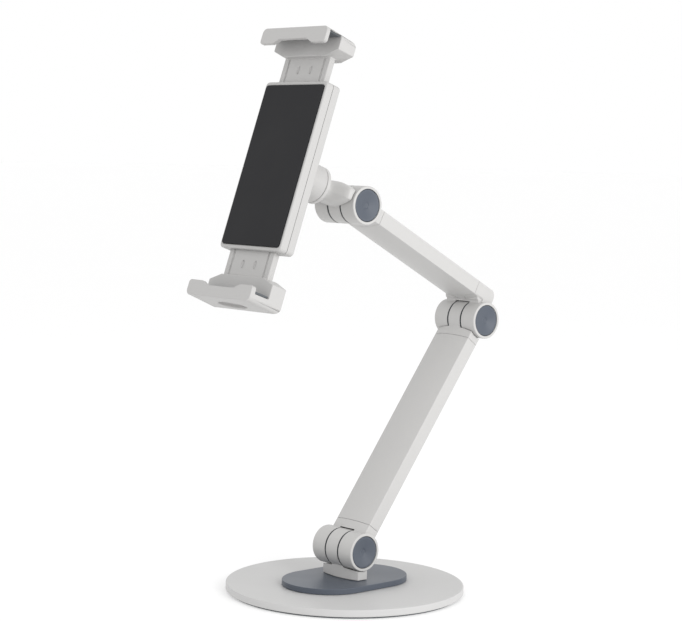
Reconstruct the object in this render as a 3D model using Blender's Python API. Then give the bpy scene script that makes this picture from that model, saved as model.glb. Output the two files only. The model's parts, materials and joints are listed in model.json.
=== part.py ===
"""Tablet desk stand: a weighted disc base, two flat arms on friction hinges and a sprung clamp head.

Lengths are millimetres here and become metres when a mesh is made. +Z is up, the clamp faces -Y, and every
hinge turns about X. Each body hangs from an empty on its own joint axis, and those empties pose the stand.
"""

import math
from collections import namedtuple

import bmesh
import bpy
from mathutils import Matrix, Vector

MM = 0.001
GAP = 0.3  # clearance between pieces that touch on the real stand
CLEAR = 0.02  # how far a rounding cutter's ends stand outside the faces that it runs into

# Base
PAD_RADIUS, PAD_TOP = 76.5, 1.0
DISC_RADIUS, DISC_TOP = 79.0, 6.0
PLATE_HALF_WIDTH, PLATE_HALF_LENGTH, PLATE_TOP = 30.0, 45.5, 10.0
KNUCKLE_HALF_WIDTH, KNUCKLE_EDGE, KNUCKLE_CROWN = 17.4, 4.0, 3.1

# Arms: a flat bar whose broad faces are crowned
LOWER_HINGE_HEIGHT = 29.0
LOWER_ARM_LENGTH, LOWER_ARM_LEAN = 184.0, 36.3
UPPER_ARM_LENGTH, UPPER_ARM_OFFSET, UPPER_ARM_ANGLE = 137.3, 17.2, 62.1
ARM_HALF_WIDTH, ARM_EDGE, ARM_CROWN, ARM_WALL = 16.2, 4.75, 2.4, 1.5
FITTING_LENGTH, SPIGOT_LENGTH = 17.5, 15.0

# Friction hinges: two fork ears round one tongue
BARREL_RADIUS, BARREL_HALF_LENGTH = 12.57, 19.1
TONGUE_HALF_WIDTH, EAR_START, SADDLE_RADIUS, SLOT_RADIUS = 5.4, 6.8, 13.2, 13.4
BOLT_RADIUS, BORE_RADIUS = 2.7, 3.0
WASHER_RADIUS, WASHER_START, WASHER_END = 12.4, 5.55, 6.65
POCKET_RADIUS, POCKET_START = 6.6, 10.5
CAP_RADIUS, CAP_START = 10.5, 16.6

# Clamp head: y runs back from the face that the tablet rests on, z runs up the tablet
CLAMP_LEAN = 19.2
HEAD_REACH, HEAD_DROP = 70.0, 2.6
HOUSING_HALF_WIDTH, HOUSING_HALF_HEIGHT, HOUSING_CORNER = 30.0, 56.0, 2.8
HOUSING_FRONT, HOUSING_SEAM, HOUSING_BACK, HOUSING_WALL = 1.1, 6.8, 12.9, 2.0
REST_PAD_HALF_WIDTH, REST_PAD_HALF_HEIGHT, REST_PAD_CORNER = 28.0, 53.4, 2.0
BOSS_RADIUS, BOSS_END = 12.5, 37.9
RAIL_HALF_WIDTH, RAIL_FRONT, RAIL_SKIN, RAIL_BACK, RAIL_INNER_END, FLANGE = 22.0, 4.3, 1.8, 8.7, 20.0, 1.5
JAW_FACE, JAW_BOTTOM, JAW_SHOULDER, JAW_CORNER = 84.75, 73.0, 77.0, 3.5
FOOT_X, NOTCH_X, FOOT_CORNER = 18.9, 13.2, 2.2

# One jaw: y runs from the lip's front to the back, and the heights are distances from the clamp's middle.
# The outer face rises from outer_front to outer_back, and the lip is cut back to notch between its two feet.
JAW_FIELDS = "side half_width lip_front lip_back channel_back back foot notch outer_front outer_back"
Jaw = namedtuple("Jaw", JAW_FIELDS + " corner lining")
UPPER_JAW = Jaw(1, 31.5, -12.0, -9.0, 0.9, 14.4, 76.9, 79.7, 87.6, 86.4, 4.5, 0.8)
LOWER_JAW = Jaw(-1, 31.6, -13.0, -9.4, 1.9, 13.6, 81.9, 84.7, 92.0, 93.8, 4.5, 1.4)
GEAR_MODULE, GEAR_TEETH, RACK_END = 1.0, 12, -28.0
SPRING_X, SPRING_Y, SPRING_RADIUS, SPRING_WIRE, SPRING_TURNS = 16.5, 8.6, 1.6, 0.3, 14
SPRING_LOW, SPRING_HIGH = -44.0, 30.0

ROUND = 48  # sides of the round pieces that show
SMALL_ROUND = 24  # sides of screws, washers and bores


# ---------------------------------------------------------------- materials

MATERIALS = {
    "painted_arm": ((0.52, 0.515, 0.505), 0.42, 0.0),
    "painted_disc": ((0.53, 0.525, 0.52), 0.45, 0.0),
    "moulded_shell": ((0.49, 0.485, 0.475), 0.48, 0.0),
    "blue_grey": ((0.09, 0.105, 0.13), 0.30, 0.0),
    "dark_rubber": ((0.02, 0.02, 0.022), 0.80, 0.0),
    "grey_rubber": ((0.12, 0.13, 0.14), 0.80, 0.0),
    "zinc_steel": ((0.55, 0.55, 0.56), 0.35, 1.0),
    "white_nylon": ((0.75, 0.74, 0.70), 0.50, 0.0),
    "dark_nylon": ((0.02, 0.025, 0.03), 0.60, 0.0),
}


def material(name):
    """The Principled material of that name, made on first use."""
    found = bpy.data.materials.get(name)
    if found:
        return found
    colour, roughness, metallic = MATERIALS[name]
    made = bpy.data.materials.new(name)
    made.use_nodes = True
    shader = made.node_tree.nodes["Principled BSDF"]
    shader.inputs["Base Color"].default_value = (*colour, 1.0)
    shader.inputs["Roughness"].default_value = roughness
    shader.inputs["Metallic"].default_value = metallic
    return made


# ---------------------------------------------------------------- outlines, anticlockwise 2-D points


def arc(centre, radius, start, end, steps):
    """Points along a circle, both ends included, with angles in degrees."""
    turns = [math.radians(start + (end - start) * i / steps) for i in range(steps + 1)]
    return [(centre[0] + radius * math.cos(a), centre[1] + radius * math.sin(a)) for a in turns]


def circle(radius, sides):
    return arc((0, 0), radius, 0, 360 - 360 / sides, sides - 1)


def ellipse(centre, half_x, half_y, sides):
    return [(centre[0] + half_x * x, centre[1] + half_y * y) for x, y in circle(1.0, sides)]


def rounded_box(half_width, half_height, corner, steps=4):
    """A rectangle with round corners, centred on the origin."""
    x, y = half_width - corner, half_height - corner
    points = []
    for sx, sy, start in ((1, 1, 0), (-1, 1, 90), (-1, -1, 180), (1, -1, 270)):
        points += arc((sx * x, sy * y), corner, start, start + 90, steps)
    return points


def bar_section(half_width, edge, crown, steps=10):
    """A flat bar with straight narrow sides of half-height edge and broad faces that rise by crown."""
    radius = (half_width**2 + crown**2) / (2 * crown)
    sweep = math.degrees(math.asin(half_width / radius))
    centre = edge + crown - radius
    top = arc((0, centre), radius, 90 - sweep, 90 + sweep, steps)
    return top + [(-x, -y) for x, y in top]


def stadium(half_width, half_length, steps=16):
    """Two half circles joined by straight sides, long along y."""
    straight = half_length - half_width
    upper = arc((0, straight), half_width, 0, 180, steps)
    return upper + [(-x, -y) for x, y in upper]


# ---------------------------------------------------------------- solids


def along(axis, point, height):
    """A 2-D point lifted to 3-D: the outline lies across the axis and height runs along it."""
    if axis == "X":
        return (height, point[0], point[1])
    if axis == "Y":
        return (point[0], height, point[1])
    return (point[0], point[1], height)


def loft(name, loops, frame, finish, smooth=True):
    """A closed solid through loops of equal length; a loop of one point closes that end to a tip."""
    mesh = bpy.data.meshes.new(name)
    build = bmesh.new()
    rings = [[build.verts.new(Vector(p) * MM) for p in loop] for loop in loops]
    for lower, upper in zip(rings, rings[1:]):
        count = max(len(lower), len(upper))
        for i in range(count):
            j = (i + 1) % count
            if len(lower) == 1:
                build.faces.new((lower[0], upper[j], upper[i]))
            elif len(upper) == 1:
                build.faces.new((lower[i], lower[j], upper[0]))
            else:
                build.faces.new((lower[i], lower[j], upper[j], upper[i]))
    for ring in (rings[0], rings[-1]):
        if len(ring) > 1 and rings[0] is not rings[-1]:
            build.faces.new(ring)
    bmesh.ops.recalc_face_normals(build, faces=build.faces)
    build.to_mesh(mesh)
    build.free()
    return placed(name, mesh, frame, finish, smooth)


def placed(name, mesh, frame, finish, smooth=True):
    """The mesh as an object in its body's frame, with its material."""
    made = bpy.data.objects.new(name, mesh)
    bpy.context.scene.collection.objects.link(made)
    made.parent = frame
    mesh.materials.append(material(finish))
    if smooth:
        mesh.shade_smooth()
        mesh.set_sharp_from_angle(angle=math.radians(32))
    return made


def prism(name, outline, low, high, frame, finish, axis="Z"):
    """An outline extruded from low to high along an axis."""
    return loft(name, [[along(axis, p, h) for p in outline] for h in (low, high)], frame, finish)


def turned(name, profile, frame, finish, axis="Z", centre=(0, 0), sides=ROUND):
    """A solid of revolution from (radius, height) pairs; one that ends off the axis becomes a ring."""
    mesh = bpy.data.meshes.new(name)
    build = bmesh.new()
    rings = []
    for radius, height in profile:
        outline = circle(radius, sides) if radius > 0 else [(0, 0)]
        points = [along(axis, (x + centre[0], y + centre[1]), height) for x, y in outline]
        rings.append([build.verts.new(Vector(p) * MM) for p in points])
    pairs = list(zip(rings, rings[1:]))
    if len(rings[0]) > 1:
        pairs.append((rings[-1], rings[0]))
    for lower, upper in pairs:
        for i in range(sides):
            j = (i + 1) % sides
            corners = [lower[i % len(lower)], lower[j % len(lower)]]
            corners += [upper[j % len(upper)], upper[i % len(upper)]]
            build.faces.new(list(dict.fromkeys(corners)))
    bmesh.ops.recalc_face_normals(build, faces=build.faces)
    build.to_mesh(mesh)
    build.free()
    return placed(name, mesh, frame, finish)


def ring(name, inner, outer, low, high, frame, finish, axis="Z", centre=(0, 0), sides=SMALL_ROUND):
    profile = [(inner, low), (outer, low), (outer, high), (inner, high)]
    return turned(name, profile, frame, finish, axis, centre, sides)


def rod(name, radius, low, high, frame, axis="Z", centre=(0, 0), sides=SMALL_ROUND, finish="zinc_steel"):
    profile = [(0, low), (radius, low), (radius, high), (0, high)]
    return turned(name, profile, frame, finish, axis, centre, sides)


def box(name, low, high, frame, finish="zinc_steel"):
    outline = [(low[0], low[1]), (high[0], low[1]), (high[0], high[1]), (low[0], high[1])]
    return prism(name, outline, low[2], high[2], frame, finish)


def combine(target, helpers, operation):
    """Adds or removes helper solids with Booleans that stay on the target."""
    for helper in helpers:
        helper.hide_render = True
        helper.display_type = "WIRE"
        step = target.modifiers.new(helper.name, "BOOLEAN")
        step.object = helper
        step.operation = operation
        step.solver = "EXACT"
    return target


def join(target, *helpers):
    return combine(target, helpers, "UNION")


def cut(target, *helpers):
    return combine(target, helpers, "DIFFERENCE")


def axis_empty(name, parent, place, degrees=0.0):
    """An empty on a joint's axis, turned about X from its parent."""
    empty = bpy.data.objects.new(name, None)
    bpy.context.scene.collection.objects.link(empty)
    empty.empty_display_size = 20 * MM
    empty.parent = parent
    turn = Matrix.Rotation(math.radians(degrees), 4, "X")
    empty.matrix_local = Matrix.Translation(Vector(place) * MM) @ turn
    return empty


# ---------------------------------------------------------------- hinges


def hinge_bore(name, frame):
    """The stepped hole through both ears: bolt bore, head pocket and cap socket."""
    socket = CAP_START - GAP
    half = [
        (CAP_RADIUS + GAP, BARREL_HALF_LENGTH + 5),
        (CAP_RADIUS + GAP, socket),
        (POCKET_RADIUS, socket),
        (POCKET_RADIUS, POCKET_START),
        (BORE_RADIUS, POCKET_START),
    ]
    mirrored = [(r, -h) for r, h in reversed(half)]
    ends = [(0, half[0][1])], [(0, -half[0][1])]
    return turned(name, ends[0] + half + mirrored + ends[1], frame, "zinc_steel", "X", sides=32)


def ears(name, frame):
    """The two outer thirds of a hinge barrel, joined by a core that the slot removes again."""
    chamfer = 0.6
    end = BARREL_HALF_LENGTH
    profile = [
        (0, -end),
        (BARREL_RADIUS - chamfer, -end),
        (BARREL_RADIUS, -end + chamfer),
        (BARREL_RADIUS, end - chamfer),
        (BARREL_RADIUS - chamfer, end),
        (0, end),
    ]
    return turned(name, profile, frame, "painted_arm", "X")


def fork(name, frame, body, helpers=()):
    """Adds the ears to a fitting's body, then cuts the tongue's slot and the bolt's stepped bore."""
    join(body, *helpers, ears(name + "_ears", frame))
    slot = rod(name + "_slot", SLOT_RADIUS, -EAR_START, EAR_START, frame, "X", sides=ROUND)
    return cut(body, hinge_bore(name + "_bore", frame), slot)


def tongue(name, frame, body):
    """Cuts room for the fork's ears out of a body and adds the tongue that stands between them."""
    wide = BARREL_HALF_LENGTH + 10
    rooms = [
        rod(f"{name}_room_{side}", SADDLE_RADIUS, min(a, b), max(a, b), frame, "X", sides=ROUND)
        for side, a, b in (("left", -TONGUE_HALF_WIDTH, -wide), ("right", TONGUE_HALF_WIDTH, wide))
    ]
    cut(body, *rooms)
    half = TONGUE_HALF_WIDTH
    barrel = rod(name + "_barrel", BARREL_RADIUS, -half, half, frame, "X", sides=ROUND)
    join(body, barrel)
    return cut(body, rod(name + "_bore", BORE_RADIUS, -30, 30, frame, "X"))


def hinge_hardware(name, frame):
    """What clamps one hinge: a bolt, a disc spring and a nut, two friction washers and two caps."""
    head_start = POCKET_START + GAP
    spring_end = POCKET_START + GAP + 1.2
    nut_end = CAP_START - 2 * GAP
    head_end = nut_end
    turned(
        name + "_bolt",
        [
            (0, -nut_end + 0.6),
            (BOLT_RADIUS, -nut_end + 0.6),
            (BOLT_RADIUS, head_start),
            (5.0, head_start),
            (5.0, head_end),
            (2.5, head_end),
            (2.5, head_end - 2.5),
            (0, head_end - 3.2),
        ],
        frame,
        "zinc_steel",
        "X",
        sides=SMALL_ROUND,
    )
    spring = [(BORE_RADIUS, -head_start - 0.5), (5.9, -head_start)]
    spring += [(5.9, -spring_end + 0.5), (BORE_RADIUS, -spring_end)]
    turned(name + "_disc_spring", spring, frame, "zinc_steel", "X", sides=SMALL_ROUND)
    nut = prism(name + "_nut", circle(5.7, 6), -nut_end, -spring_end - GAP, frame, "zinc_steel", "X")
    cut(nut, rod(name + "_nut_thread", BORE_RADIUS, -30, 0, frame, "X"))
    for side, sign in (("left", -1), ("right", 1)):
        inner, outer = sorted((sign * WASHER_START, sign * WASHER_END))
        washer = f"{name}_friction_washer_{side}"
        ring(washer, BORE_RADIUS, WASHER_RADIUS, inner, outer, frame, "dark_nylon", "X", sides=ROUND)
        dish = [(0, 17.2), (1.8, 17.2), (2.6, 17.6), (9.4, 18.8), (10.1, 18.8), (CAP_RADIUS, 18.5)]
        profile = [(r, sign * h) for r, h in dish + [(CAP_RADIUS, CAP_START), (0, CAP_START)]]
        turned(f"{name}_cap_{side}", profile, frame, "blue_grey", "X", sides=ROUND)


# ---------------------------------------------------------------- base


def build_base(frame):
    """The rubber pad and the weighted disc, which carry everything else."""
    rod("foot_pad", PAD_RADIUS, 0, PAD_TOP, frame, sides=64, finish="grey_rubber")
    bottom = PAD_TOP + GAP
    chamfer = 0.5
    profile = [
        (9.5, bottom),
        (DISC_RADIUS - chamfer, bottom),
        (DISC_RADIUS, bottom + chamfer),
        (DISC_RADIUS, DISC_TOP - chamfer),
        (DISC_RADIUS - chamfer, DISC_TOP),
        (4.0, DISC_TOP),
        (4.0, 4.6),
        (9.5, 4.6),
    ]
    turned("base_disc", profile, frame, "painted_disc", sides=72)


def build_turntable(frame, hinge):
    """The plate and hinge knuckle that swivel on the disc, with their fasteners."""
    low = DISC_TOP + GAP
    outline = stadium(PLATE_HALF_WIDTH, PLATE_HALF_LENGTH)
    plate = prism("swivel_plate", outline, low, PLATE_TOP, frame, "blue_grey")
    bolt_hole = rod("plate_bolt_hole", 4.0, 0, 12, frame)
    washer_seat = rod("plate_washer_seat", 8.8, 0, low + 1.3, frame)
    cut(plate, bolt_hole, washer_seat)
    ring("swivel_washer", 4.3, 8.5, low, low + 1.0, frame, "white_nylon")
    foot = PLATE_TOP + GAP
    section = bar_section(KNUCKLE_HALF_WIDTH, KNUCKLE_EDGE, KNUCKLE_CROWN)
    knuckle = prism("base_knuckle", section, foot, LOWER_HINGE_HEIGHT, frame, "painted_arm")
    tongue("base_tongue", hinge, knuckle)
    cut(knuckle, rod("knuckle_bolt_hole", 4.0, 5, 18.0, frame))
    turned(
        "swivel_bolt",
        [(0, 1.6), (6.5, 1.6), (7.5, 2.4), (7.5, 3.0), (3.7, 3.0), (3.7, 17.5), (0, 17.5)],
        frame,
        "zinc_steel",
        sides=SMALL_ROUND,
    )
    ring("swivel_spring_washer", 4.0, 8.0, 3.3, 4.3, frame, "zinc_steel")
    for side, x in (("left", -13.0), ("right", 13.0)):
        profile = [(0, low + 0.1), (3.0, low + 0.1), (1.5, low + 1.7), (1.5, 14.2), (0, 14.2)]
        turned(f"plate_screw_{side}", profile, frame, "zinc_steel", centre=(x, 0), sides=16)
        seat = [(0, 5), (3.4, 5), (3.4, low + 0.1), (1.8, low + 1.8), (1.8, 14.6), (0, 14.6)]
        hole = turned(f"plate_screw_hole_{side}", seat, frame, "zinc_steel", centre=(x, 0), sides=16)
        cut(plate, hole)
        cut(knuckle, hole)


# ---------------------------------------------------------------- arms


def arm_section(shrink=0.0, lift=0.0):
    outline = bar_section(ARM_HALF_WIDTH - shrink, ARM_EDGE - shrink, ARM_CROWN)
    return [(x, y + lift) for x, y in outline]


def elbow_section(lift):
    """The arm's section with its straight sides carried down to the flat underside of the elbow's web."""
    crown = [(x, y) for x, y in arm_section(0, lift) if y > lift]
    return crown + [(-ARM_HALF_WIDTH, 4.0), (ARM_HALF_WIDTH, 4.0)]


def arm_tube(name, low, high, frame, lift=0.0):
    """An extruded tube, open at both ends, with the arm's crowned section."""
    tube = prism(name, arm_section(0, lift), low + GAP, high - GAP, frame, "painted_arm")
    core = prism(name + "_core", arm_section(ARM_WALL, lift), low - 5, high + 5, frame, "painted_arm")
    return cut(tube, core)


def spigot(name, low, high, frame, lift=0.0):
    """The part of an end fitting that plugs into the tube."""
    return prism(name, arm_section(ARM_WALL + GAP, lift), low, high, frame, "painted_arm")


def build_lower_arm(frame, elbow):
    """Fork at the base, tongue at the elbow, and the tube between."""
    seam_low, seam_high = FITTING_LENGTH, LOWER_ARM_LENGTH - FITTING_LENGTH
    arm_tube("lower_arm_tube", seam_low, seam_high, frame)
    base_end = prism("lower_arm_fork", arm_section(), 0, seam_low, frame, "painted_arm")
    fork("lower_fork", frame, base_end, [spigot("lower_fork_spigot", 14, seam_low + SPIGOT_LENGTH, frame)])
    elbow_end = prism("lower_arm_tongue", arm_section(), seam_high, LOWER_ARM_LENGTH, frame, "painted_arm")
    join(elbow_end, spigot("lower_tongue_spigot", seam_high - SPIGOT_LENGTH, seam_high + 2, frame))
    tongue("elbow_tongue", elbow, elbow_end)


def build_upper_arm(frame, head):
    """An offset fork over the elbow, a fork in line at the head, and the tube between."""
    lift = UPPER_ARM_OFFSET
    seam_low, seam_high = 16.8, UPPER_ARM_LENGTH - FITTING_LENGTH
    arm_tube("upper_arm_tube", seam_low, seam_high, frame, lift)
    end, top, web_end = -1.8, lift + ARM_EDGE, 7.6
    elbow_end = prism("upper_arm_elbow_fork", elbow_section(lift), end, seam_low, frame, "painted_arm")
    nose = [(5, end - 5), (40, end - 5), (40, end + 9)] + arc((top - 5.4, end + 6), 6.0, 25, -90, 5)
    rounding = prism("elbow_nose_cut", nose, -30, 30, frame, "painted_arm", "X")
    crown = [(x, y) for x, y in arm_section(0, lift) if y < lift]
    below = [(-ARM_HALF_WIDTH - 5, crown[0][1]), *crown, (ARM_HALF_WIDTH + 5, crown[0][1])]
    below += [(ARM_HALF_WIDTH + 5, 0.0), (-ARM_HALF_WIDTH - 5, 0.0)]
    under_arm = prism("elbow_under_arm", below, web_end, seam_low + 5, frame, "painted_arm")
    cut(elbow_end, rounding, under_arm)
    pegs = [spigot("elbow_fork_spigot", 13, seam_low + SPIGOT_LENGTH, frame, lift)]
    fork("elbow_fork", frame, elbow_end, pegs)
    section = arm_section(0, lift)
    head_end = prism("upper_arm_head_fork", section, seam_high, UPPER_ARM_LENGTH - 3, frame, "painted_arm")
    peg = spigot("head_fork_spigot", seam_high - SPIGOT_LENGTH, seam_high + 3, frame, lift)
    fork("head_fork", head, head_end, [peg])


# ---------------------------------------------------------------- head


def build_neck(frame):
    """The tongue piece of the head hinge, which narrows to a stem and ends in the swivel's flange."""
    count = 48
    wide = resampled(bar_section(17.4, 3.2, 4.8, 23), count)
    stem, flange = resampled(circle(6.2, count), count), resampled(circle(BOSS_RADIUS, count), count)
    face = -HEAD_REACH + BOSS_END + GAP
    stations = [
        (wide, 0.0),
        (wide, -15.0),
        (blend_outline(wide, stem, 0.6), -18.0),
        (blend_outline(wide, stem, 0.92), -21.0),
        (stem, -24.0),
        (stem, -26.5),
        (blend_outline(stem, flange, 0.35), -28.3),
        (flange, -29.3),
        (flange, face),
    ]
    loops = [[(x, y, z + HEAD_DROP) for x, z in outline] for outline, y in stations]
    neck = loft("swivel_neck", loops, frame, "painted_arm")
    tongue("head_tongue", frame, neck)
    centre = (0, HEAD_DROP)
    join(neck, rod("neck_spigot", 5.5, face - 5, face + 3, frame, "Y", centre))
    cut(neck, rod("neck_thread", BORE_RADIUS, face - 20, face + 13, frame, "Y", centre))


def resampled(outline, count):
    """The points of a star-shaped outline at even angles, so outlines of one count join without twist."""
    return [ray_hit(outline, 2 * math.pi * i / count) for i in range(count)]


def ray_hit(outline, angle):
    """Where a ray from the origin at this angle leaves a star-shaped outline."""
    dx, dy = math.cos(angle), math.sin(angle)
    reach = 0.0
    for (x0, y0), (x1, y1) in zip(outline, outline[1:] + outline[:1]):
        across = dx * (y1 - y0) - dy * (x1 - x0)
        if abs(across) < 1e-9:
            continue
        share = (x0 * dy - y0 * dx) / across
        if -1e-6 <= share <= 1 + 1e-6:
            reach = max(reach, (x0 * (y1 - y0) - y0 * (x1 - x0)) / across)
    return (dx * reach, dy * reach)


def blend_outline(first, second, share):
    return [(a[0] + (b[0] - a[0]) * share, a[1] + (b[1] - a[1]) * share) for a, b in zip(first, second)]


def build_neck_bolt(frame):
    """The bolt, spring washer and friction washer that hold the clamp on the neck and let it turn."""
    shoulder = 24.0
    ring("neck_friction_washer", BORE_RADIUS, 7.5, shoulder - 1.3, shoulder - GAP, frame, "white_nylon", "Y")
    ring("neck_spring_washer", BORE_RADIUS, 6.5, shoulder - 2.6, shoulder - 1.6, frame, "zinc_steel", "Y")
    head = shoulder - 2.9
    turned(
        "neck_bolt",
        [
            (0, head - 2.0),
            (2.5, head - 2.8),
            (2.5, head - 5.0),
            (5.0, head - 5.0),
            (5.0, head),
            (BOLT_RADIUS, head),
            (BOLT_RADIUS, BOSS_END + 12),
            (0, BOSS_END + 12),
        ],
        frame,
        "zinc_steel",
        "Y",
        sides=SMALL_ROUND,
    )


def rack_outline(side):
    """A straight rack of trapezoid teeth along z, facing the pinion from this side (-1 left, 1 right)."""
    pitch = math.pi * GEAR_MODULE
    line = GEAR_MODULE * GEAR_TEETH / 2
    tip, root = line - 0.85, line + 1.2
    low, high = RACK_END, RAIL_INNER_END
    points = [(12.5, low), (12.5, high), (root, high)]
    centre = math.floor(high / pitch) * pitch - pitch
    while centre > low + pitch:
        points += [(root, centre + 1.15), (tip, centre + 0.4), (tip, centre - 0.4), (root, centre - 1.15)]
        centre -= pitch
    points.append((root, low))
    return [(side * x, z) for x, z in points]


def jaw_outline(jaw, outer):
    """A jaw seen from the front: sloped shoulders above the rail and round corners, its top at outer."""
    x = jaw.half_width - JAW_CORNER
    outline = [(-21, JAW_BOTTOM), (21, JAW_BOTTOM), (jaw.half_width, JAW_SHOULDER)]
    outline += arc((x, outer - JAW_CORNER), JAW_CORNER, 0, 90, 4)
    outline += arc((-x, outer - JAW_CORNER), JAW_CORNER, 90, 180, 4)
    return outline + [(-jaw.half_width, JAW_SHOULDER)]


def lip_foot_outline(jaw):
    """What is cut away below the lip: two feet with round outer corners and a notch between them."""
    corner, wide, low = FOOT_CORNER, 50, 60
    right = [(wide, low), (wide, jaw.foot + corner)]
    right += arc((jaw.half_width - corner + CLEAR, jaw.foot + corner), corner, 0, -90, 3)
    right += [(FOOT_X, jaw.foot), (NOTCH_X, jaw.notch)]
    return right + [(-x, z) for x, z in reversed(right)]


def back_corner_outline(jaw):
    """What is cut away, in (y, z), to round the outer face's back edge."""
    slope = (jaw.outer_back - jaw.outer_front) / (jaw.back - jaw.lip_front)
    y = jaw.back - jaw.corner + CLEAR
    z = jaw.outer_back - jaw.corner * (slope + math.hypot(1, slope)) + CLEAR
    round_edge = arc((y, z), jaw.corner, 90 + math.degrees(math.atan(slope)), 0, 5)
    clear = jaw.outer_back + 5
    return [(jaw.back + 5, z), (jaw.back + 5, clear), (round_edge[0][0], clear)] + round_edge


def build_jaw(name, frame, jaw):
    """One slider: a grooved rail with its rack, and the jaw that hooks over the tablet's edge."""
    side, half = jaw.side, jaw.half_width
    skin = RAIL_FRONT + RAIL_SKIN

    def outline(points):
        return [(side * x, side * z) for x, z in points]

    def slab(part, low, high):
        corners = [(low[0], low[2]), (high[0], low[2]), (high[0], high[2]), (low[0], high[2])]
        return prism(f"{name}_{part}", outline(corners), low[1], high[1], frame, "moulded_shell", "Y")

    ends = ((jaw.lip_front, jaw.outer_front), (jaw.back, jaw.outer_back))
    loops = [[along("Y", p, y) for p in outline(jaw_outline(jaw, outer))] for y, outer in ends]
    body = loft(name, loops, frame, "moulded_shell")
    channel = slab("channel", (-50, jaw.lip_back, 60), (50, jaw.channel_back, JAW_FACE + jaw.lining + GAP))
    feet = outline(lip_foot_outline(jaw))
    below_lip = prism(name + "_below_lip", feet, jaw.lip_front - 5, 0, frame, "moulded_shell", "Y")
    corner = [(y, side * z) for y, z in back_corner_outline(jaw)]
    cut(body, channel, below_lip, prism(name + "_back_corner", corner, -50, 50, frame, "moulded_shell", "X"))
    rail_end = (RAIL_HALF_WIDTH, skin, JAW_BOTTOM + 4)
    rail = slab("rail", (-RAIL_HALF_WIDTH, RAIL_FRONT, RAIL_INNER_END), rail_end)
    helpers = [rail]
    for part, low_x, high_x in (
        ("left_flange", -RAIL_HALF_WIDTH, FLANGE - RAIL_HALF_WIDTH),
        ("right_flange", RAIL_HALF_WIDTH - FLANGE, RAIL_HALF_WIDTH),
    ):
        helpers.append(slab(part, (low_x, skin - 0.5, RAIL_INNER_END), (high_x, RAIL_BACK, JAW_BOTTOM + 4)))
    teeth = outline(rack_outline(-1))
    rack = prism(name + "_rack", teeth, skin + GAP, RAIL_BACK, frame, "moulded_shell", "Y")
    leg = slab("leg", (-12.5, skin - 0.5, RAIL_INNER_END - 0.01), (-7.25, RAIL_BACK, JAW_BOTTOM + 4))
    post_place = (-side * SPRING_X, side * (SPRING_HIGH + 2))
    post = rod(f"{name}_spring_post", 1.0, skin - 0.5, RAIL_BACK + 0.8, frame, "Y", post_place, 12)
    join(body, *helpers, leg, rack, post)
    for part, x in (("left_groove", -17.0), ("right_groove", 17.0)):
        low = (x - 0.6, RAIL_FRONT - 1, RAIL_INNER_END - 5)
        cut(body, slab(part, low, (x + 0.6, RAIL_FRONT + 0.6, JAW_BOTTOM + 2)))
    for part, x in (("left_mark", -6.0), ("right_mark", 6.0)):
        mark = outline(ellipse((x, 65.0), 1.1, 2.6, 12))
        low, high = RAIL_FRONT - 1, RAIL_FRONT + 0.5
        cut(body, prism(f"{name}_{part}", mark, low, high, frame, "moulded_shell", "Y"))
    if side < 0:
        outer = (jaw.outer_front + jaw.outer_back) / 2
        oval = ellipse((0, 1.0), 13.5, 5.0, 24)
        cut(body, prism(name + "_finger_recess", oval, -outer - 5, 2.2 - outer, frame, "moulded_shell"))
    low, high = (1.2 - half, JAW_FACE), (half - 1.2, JAW_FACE + jaw.lining)
    lining = [low, (high[0], low[1]), high, (low[0], high[1])]
    front, back = jaw.lip_back + GAP, jaw.channel_back - GAP
    prism(name + "_lining", outline(lining), front, back, frame, "grey_rubber", "Y")


def build_spring(name, frame, side):
    """A long extension spring as one closed wire, hooked between a slider's post and the housing's post."""
    count = SPRING_TURNS * 8
    curve = bpy.data.curves.new(name, "CURVE")
    curve.dimensions = "3D"
    curve.bevel_depth = SPRING_WIRE * MM
    curve.bevel_resolution = 0
    curve.use_fill_caps = True
    spline = curve.splines.new("POLY")
    spline.points.add(count)
    for i, point in enumerate(spline.points):
        turn = 2 * math.pi * i / 8
        z = SPRING_LOW + (SPRING_HIGH - SPRING_LOW) * i / count
        x = -SPRING_X + SPRING_RADIUS * math.cos(turn)
        y = SPRING_Y + SPRING_RADIUS * math.sin(turn)
        point.co = (side * x * MM, y * MM, side * z * MM, 1.0)
    curve.materials.append(material("zinc_steel"))
    made = bpy.data.objects.new(name, curve)
    bpy.context.scene.collection.objects.link(made)
    made.parent = frame
    return made


def build_pinion(frame, clamp):
    """The gear that ties the two racks together, and the pin it turns on."""
    outer, root = GEAR_MODULE * GEAR_TEETH / 2 + 0.85, GEAR_MODULE * GEAR_TEETH / 2 - 1.2
    step = 2 * math.pi / GEAR_TEETH
    points = []
    for tooth in range(GEAR_TEETH):
        middle = (tooth + 0.5) * step
        for radius, offset in ((root, -0.30), (outer, -0.105), (outer, 0.105), (root, 0.30)):
            angle = middle + offset * step
            points.append((radius * math.cos(angle), radius * math.sin(angle)))
    gear = prism("pinion", points, RAIL_FRONT + RAIL_SKIN + GAP, RAIL_BACK, frame, "white_nylon", "Y")
    cut(gear, rod("pinion_bore", 1.8, 0, 20, frame, "Y"))
    rod("pinion_pin", 1.5, 2.4, 10.4, clamp, "Y")


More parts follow.
